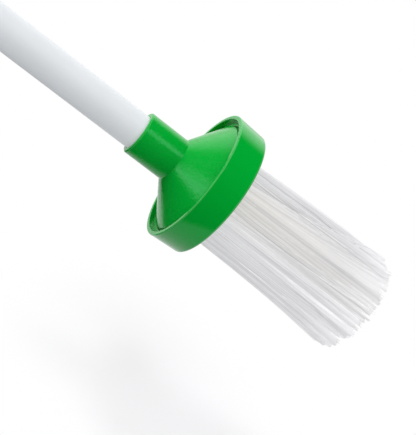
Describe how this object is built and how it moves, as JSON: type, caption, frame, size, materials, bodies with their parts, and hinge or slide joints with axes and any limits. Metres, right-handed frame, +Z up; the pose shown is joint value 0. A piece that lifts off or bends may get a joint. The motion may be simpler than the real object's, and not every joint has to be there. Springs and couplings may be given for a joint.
{
  "type": "insect catcher",
  "caption": "Long-handled insect catcher: squeezing the grip's lever pushes a rod that spreads a round brush of long bristles like petals, and a spring closes them.",
  "frame": {"origin": "centre of the tool's length and width, on the ground under the head ring and the grip's heel", "axes": "+X along the pole from the grip to the bristle tips, +Z up, with the lever below the grip"},
  "size_m": [0.65, 0.0866, 0.0867],
  "materials": {
    "green_plastic": "satin moulded plastic",
    "white_pole": "smooth white plastic tube",
    "bristle_nylon": "translucent nylon filament",
    "grey_plastic": "matt moulded plastic",
    "steel": "bright drawn steel"
  },
  "bodies": {
    "tool": {"pole": "white_pole", "head_housing": "green_plastic", "retaining_ring": "green_plastic", "pivot_carrier": "grey_plastic", "front_bush": "grey_plastic", "back_bush": "grey_plastic", "handle_left": "green_plastic", "handle_right": "green_plastic", "trigger_pin": "steel", "handle_screw_1": "steel", "handle_screw_2": "steel", "handle_screw_3": "steel", "return_spring": "steel"},
    "rod": {"push_rod": "steel", "rod_nut": "steel", "plunger": "grey_plastic", "rod_slider": "grey_plastic"},
    "lever": {"trigger": "green_plastic"},
    "petal_1": {"bristle_cup_1": "grey_plastic", "bristle_tuft_1": "bristle_nylon"},
    "petal_2": {"bristle_cup_2": "grey_plastic", "bristle_tuft_2": "bristle_nylon"},
    "petal_3": {"bristle_cup_3": "grey_plastic", "bristle_tuft_3": "bristle_nylon"},
    "petal_4": {"bristle_cup_4": "grey_plastic", "bristle_tuft_4": "bristle_nylon"},
    "petal_5": {"bristle_cup_5": "grey_plastic", "bristle_tuft_5": "bristle_nylon"},
    "petal_6": {"bristle_cup_6": "grey_plastic", "bristle_tuft_6": "bristle_nylon"},
    "petal_7": {"bristle_cup_7": "grey_plastic", "bristle_tuft_7": "bristle_nylon"},
    "petal_8": {"bristle_cup_8": "grey_plastic", "bristle_tuft_8": "bristle_nylon"}
  },
  "joints": [
    {"name": "trigger_squeeze", "type": "hinge", "parent": "tool", "child": "lever", "pos_m": [-0.221, 0, 0.03009], "axis": [0, 1, 0], "range_deg": [0, 16], "stiffness_Nm_per_rad": 1, "springref_deg": -9.74},
    {"name": "rod_slide", "type": "slide", "parent": "tool", "child": "rod", "axis": [1, 0, 0], "range_m": [0, 0.00375], "deforming": ["return_spring"]},
    {"name": "petal_1_open", "type": "hinge", "parent": "tool", "child": "petal_1", "pos_m": [0.195, 0, 0.0684], "axis": [0, -1, 0], "range_deg": [0, 24]},
    {"name": "petal_2_open", "type": "hinge", "parent": "tool", "child": "petal_2", "pos_m": [0.195, -0.01768, 0.06108], "axis": [0, -0.7071, -0.7071], "range_deg": [0, 24]},
    {"name": "petal_3_open", "type": "hinge", "parent": "tool", "child": "petal_3", "pos_m": [0.195, -0.025, 0.0434], "axis": [0, 0, -1], "range_deg": [0, 24]},
    {"name": "petal_4_open", "type": "hinge", "parent": "tool", "child": "petal_4", "pos_m": [0.195, -0.01768, 0.02572], "axis": [0, 0.7071, -0.7071], "range_deg": [0, 24]},
    {"name": "petal_5_open", "type": "hinge", "parent": "tool", "child": "petal_5", "pos_m": [0.195, 0, 0.0184], "axis": [0, 1, 0], "range_deg": [0, 24]},
    {"name": "petal_6_open", "type": "hinge", "parent": "tool", "child": "petal_6", "pos_m": [0.195, 0.01768, 0.02572], "axis": [0, 0.7071, 0.7071], "range_deg": [0, 24]},
    {"name": "petal_7_open", "type": "hinge", "parent": "tool", "child": "petal_7", "pos_m": [0.195, 0.025, 0.0434], "axis": [0, 0, 1], "range_deg": [0, 24]},
    {"name": "petal_8_open", "type": "hinge", "parent": "tool", "child": "petal_8", "pos_m": [0.195, 0.01768, 0.06108], "axis": [0, -0.7071, 0.7071], "range_deg": [0, 24]}
  ],
  "couplings": [
    {"joint": "rod_slide", "follows": "trigger_squeeze", "m_per_rad": 0.0134},
    {"joint": "petal_1_open", "follows": "trigger_squeeze", "ratio": 1.5},
    {"joint": "petal_2_open", "follows": "trigger_squeeze", "ratio": 1.5},
    {"joint": "petal_3_open", "follows": "trigger_squeeze", "ratio": 1.5},
    {"joint": "petal_4_open", "follows": "trigger_squeeze", "ratio": 1.5},
    {"joint": "petal_5_open", "follows": "trigger_squeeze", "ratio": 1.5},
    {"joint": "petal_6_open", "follows": "trigger_squeeze", "ratio": 1.5},
    {"joint": "petal_7_open", "follows": "trigger_squeeze", "ratio": 1.5},
    {"joint": "petal_8_open", "follows": "trigger_squeeze", "ratio": 1.5}
  ]
}
